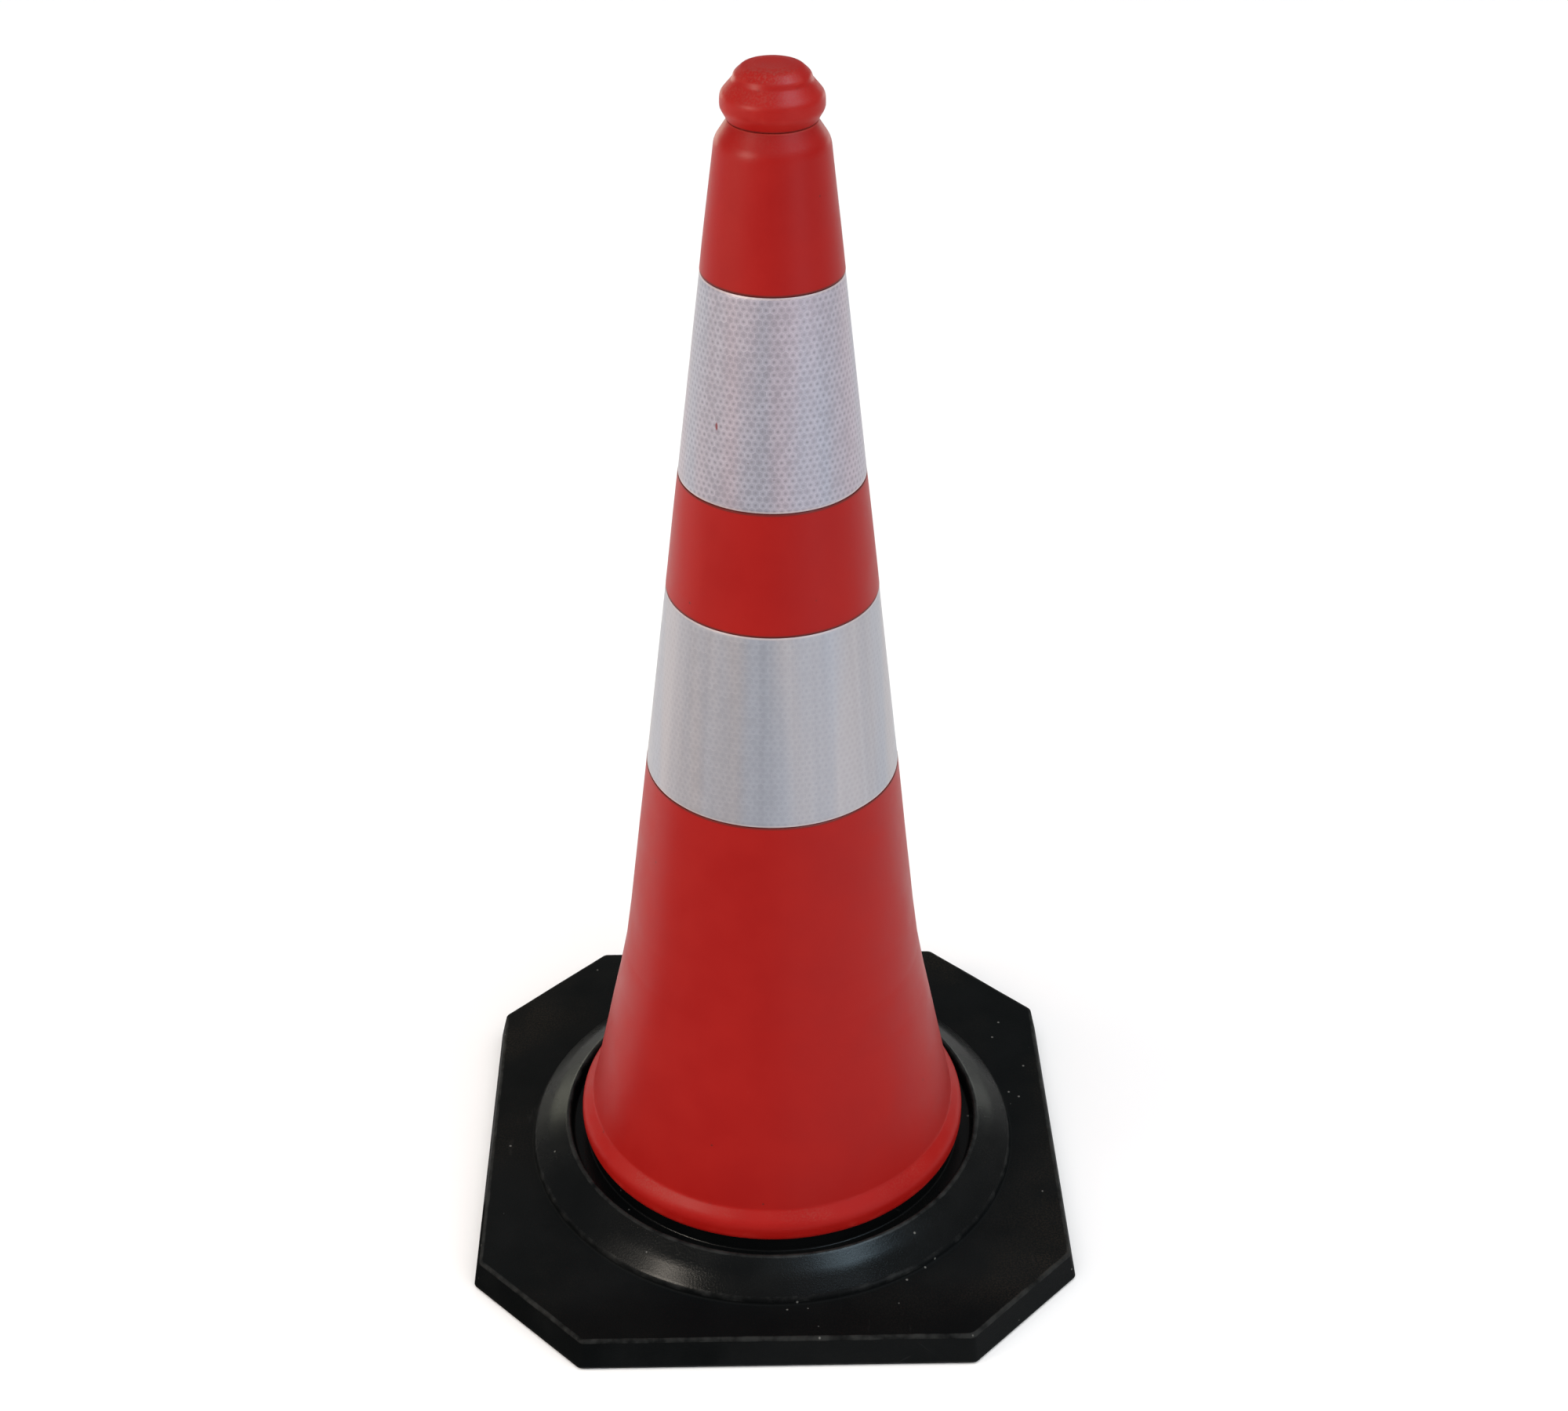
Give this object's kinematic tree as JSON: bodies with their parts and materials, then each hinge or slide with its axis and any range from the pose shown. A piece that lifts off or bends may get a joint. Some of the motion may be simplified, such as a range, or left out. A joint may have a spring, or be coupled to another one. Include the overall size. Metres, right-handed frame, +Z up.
{
  "type": "traffic cone",
  "caption": "Tall hollow cone with a grip knob and reflective bands, its skirt pushed into a heavy octagonal rubber base with a raised collar.",
  "frame": {"origin": "centre of the base's underside, on the ground", "axes": "+Z up along the cone's axis; X and Y square to the base's four long sides; the film's laps are on +Y, the back"},
  "size_m": [0.51, 0.51, 1],
  "materials": {
    "rubber": "black recycled rubber, moulded, satin",
    "shell": "satin red moulded plastic",
    "knob": "satin red moulded plastic",
    "film": "silver-white reflective film with a fine honeycomb"
  },
  "bodies": {
    "base": {"rubber_base": "rubber"},
    "cone": {"cone_shell": "shell", "top_knob": "knob", "upper_band": "film", "lower_band": "film"}
  },
  "joints": [
    {"name": "cone_lift", "type": "slide", "parent": "base", "child": "cone", "axis": [0, 0, 1], "range_m": [0, 0.08]}
  ]
}
